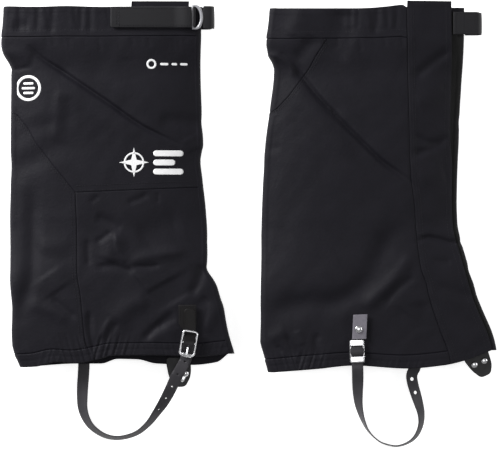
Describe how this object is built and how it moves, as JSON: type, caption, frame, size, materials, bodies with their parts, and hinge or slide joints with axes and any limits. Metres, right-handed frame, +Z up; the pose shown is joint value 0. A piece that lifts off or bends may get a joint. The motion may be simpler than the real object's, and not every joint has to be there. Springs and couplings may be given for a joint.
{
  "type": "pair of hiking gaiters",
  "caption": "Pair of hiking gaiters laid flat: fabric leg tubes with a front closure flap, top cinch, gathered hems, instep straps with buckles and lace hooks.",
  "frame": {"origin": "centre of the pair on the surface it lies on", "axes": "+X from the right-foot gaiter to the left-foot one and towards the toe edge of each, +Y towards the tops, +Z up from the surface"},
  "size_m": [0.5444, 0.4924, 0.0378],
  "materials": {
    "shell_fabric": "plain-weave nylon shell, near black with a faint blue cast, dull",
    "lining": "smooth woven facing",
    "elastic": "ribbed elastic",
    "loop_tape": "brushed loop pile, matte",
    "hook_tape": "moulded hooks",
    "cinch_webbing": "woven tape",
    "strap_plastic": "coated strap, satin",
    "grey_leather": "grey, fine grain",
    "tab_rubber": "satin black",
    "bright_steel": "nickel plated",
    "ring_plastic": "dark grey moulded"
  },
  "bodies": {
    "right_shell": {"right_upper_panel": "shell_fabric", "right_lower_panel": "shell_fabric", "right_rear_panel": "shell_fabric", "right_top_hem": "shell_fabric", "right_top_elastic": "elastic", "right_top_facing": "lining", "right_bottom_hem": "shell_fabric", "right_bottom_elastic": "elastic", "right_underflap": "shell_fabric", "right_loop_tape": "loop_tape", "right_cinch_strap": "cinch_webbing", "right_ring_webbing": "cinch_webbing", "right_buckle_chape": "strap_plastic", "right_strap_tip": "strap_plastic", "right_strap_hold": "strap_plastic", "right_anchor_slide": "bright_steel", "right_anchor_tab": "grey_leather", "right_anchor_rivet": "bright_steel"},
    "right_flap": {"right_front_flap": "shell_fabric", "right_hook_tape": "hook_tape"},
    "right_ring": {"right_d_ring": "ring_plastic"},
    "right_cinch_tail": {"right_cinch_tail": "cinch_webbing"},
    "right_buckle": {"right_buckle_frame": "bright_steel"},
    "right_roller": {"right_buckle_roller": "bright_steel"},
    "right_prong": {"right_buckle_prong": "bright_steel"},
    "right_instep_strap": {"right_instep_strap": "strap_plastic"},
    "right_lace_tab": {"right_lace_tab": "tab_rubber", "right_lace_hook": "bright_steel", "right_lace_dome": "bright_steel", "right_lace_rivet": "bright_steel"},
    "left_shell": {"left_upper_panel": "shell_fabric", "left_lower_panel": "shell_fabric", "left_rear_panel": "shell_fabric", "left_top_hem": "shell_fabric", "left_top_elastic": "elastic", "left_top_facing": "lining", "left_bottom_hem": "shell_fabric", "left_bottom_elastic": "elastic", "left_underflap": "shell_fabric", "left_loop_tape": "loop_tape", "left_cinch_strap": "cinch_webbing", "left_ring_webbing": "cinch_webbing", "left_buckle_chape": "strap_plastic", "left_strap_tip": "strap_plastic", "left_strap_hold": "strap_plastic", "left_anchor_slide": "bright_steel", "left_anchor_tab": "grey_leather", "left_anchor_rivet": "bright_steel"},
    "left_flap": {"left_front_flap": "shell_fabric", "left_hook_tape": "hook_tape"},
    "left_ring": {"left_d_ring": "ring_plastic"},
    "left_cinch_tail": {"left_cinch_tail": "cinch_webbing"},
    "left_buckle": {"left_buckle_frame": "bright_steel"},
    "left_roller": {"left_buckle_roller": "bright_steel"},
    "left_prong": {"left_buckle_prong": "bright_steel"},
    "left_instep_strap": {"left_instep_strap": "strap_plastic"},
    "left_lace_tab": {"left_lace_tab": "tab_rubber", "left_lace_hook": "bright_steel", "left_lace_dome": "bright_steel", "left_lace_rivet": "bright_steel"}
  },
  "joints": [
    {"name": "right_flap_hinge", "type": "hinge", "parent": "right_shell", "child": "right_flap", "pos_m": [-0.0902, 0.04825, 0], "axis": [-0.1197, 0.9928, 0], "range_deg": [0, 150]},
    {"name": "right_ring_hinge", "type": "hinge", "parent": "right_shell", "child": "right_ring", "pos_m": [-0.0616, 0.2277, 0.02577], "axis": [0, -1, 0], "range_deg": [0, 15]},
    {"name": "right_cinch_peel", "type": "hinge", "parent": "right_shell", "child": "right_cinch_tail", "pos_m": [-0.0616, 0.2277, 0.02837], "axis": [0, 1, 0], "range_deg": [0, 140]},
    {"name": "right_buckle_pivot", "type": "hinge", "parent": "right_shell", "child": "right_buckle", "pos_m": [-0.066, -0.1293, 0.03349], "axis": [0.9848, -0.1736, 0], "range_deg": [-2, 2]},
    {"name": "right_roller_spin", "type": "hinge", "parent": "right_buckle", "child": "right_roller", "pos_m": [-0.06826, -0.1421, 0.03349], "axis": [0.9848, -0.1736, 0], "continuous": true},
    {"name": "right_prong_pivot", "type": "hinge", "parent": "right_buckle", "child": "right_prong", "pos_m": [-0.066, -0.1293, 0.03349], "axis": [-0.9848, 0.1736, 0], "range_deg": [0, 40]},
    {"name": "right_instep_swing", "type": "hinge", "parent": "right_shell", "child": "right_instep_strap", "pos_m": [-0.12575, -0.15085, 0.019], "axis": [-0.9812, -0.0497, -0.1866], "range_deg": [0, 90]},
    {"name": "right_lace_tab_flex", "type": "hinge", "parent": "right_shell", "child": "right_lace_tab", "pos_m": [-0.0775, -0.1515, 0.0125], "axis": [1, 0, 0], "range_deg": [-10, 15]},
    {"name": "left_flap_hinge", "type": "hinge", "parent": "left_shell", "child": "left_flap", "pos_m": [0.198, 0.04365, 0.0286], "axis": [0.1176, -0.9931, 0], "range_deg": [0, 150]},
    {"name": "left_ring_hinge", "type": "hinge", "parent": "left_shell", "child": "left_ring", "pos_m": [0.2266, 0.2215, 0.004], "axis": [0, 1, 0], "range_deg": [0, 15]},
    {"name": "left_cinch_peel", "type": "hinge", "parent": "left_shell", "child": "left_cinch_tail", "pos_m": [0.2266, 0.2215, 0.0014], "axis": [0, -1, 0], "range_deg": [0, 140]},
    {"name": "left_buckle_pivot", "type": "hinge", "parent": "left_shell", "child": "left_buckle", "pos_m": [0.1965, -0.133, 0.0046], "axis": [0.866, -0.5, 0], "range_deg": [-2, 2]},
    {"name": "left_roller_spin", "type": "hinge", "parent": "left_buckle", "child": "left_roller", "pos_m": [0.19, -0.14426, 0.0046], "axis": [0.866, -0.5, 0], "continuous": true},
    {"name": "left_prong_pivot", "type": "hinge", "parent": "left_buckle", "child": "left_prong", "pos_m": [0.1965, -0.133, 0.0046], "axis": [0.866, -0.5, 0], "range_deg": [0, 40]},
    {"name": "left_instep_swing", "type": "hinge", "parent": "left_shell", "child": "left_instep_strap", "pos_m": [0.151, -0.1573, 0.0196], "axis": [-0.9414, -0.0029, 0.3373], "range_deg": [0, 90]},
    {"name": "left_lace_tab_flex", "type": "hinge", "parent": "left_shell", "child": "left_lace_tab", "pos_m": [0.25, -0.146, 0.014], "axis": [1, 0, 0], "range_deg": [-10, 15]},
    {"name": "pair_spacing", "type": "slide", "parent": "right_shell", "child": "left_shell", "axis": [1, 0, 0], "range_m": [0, 0.12]}
  ]
}
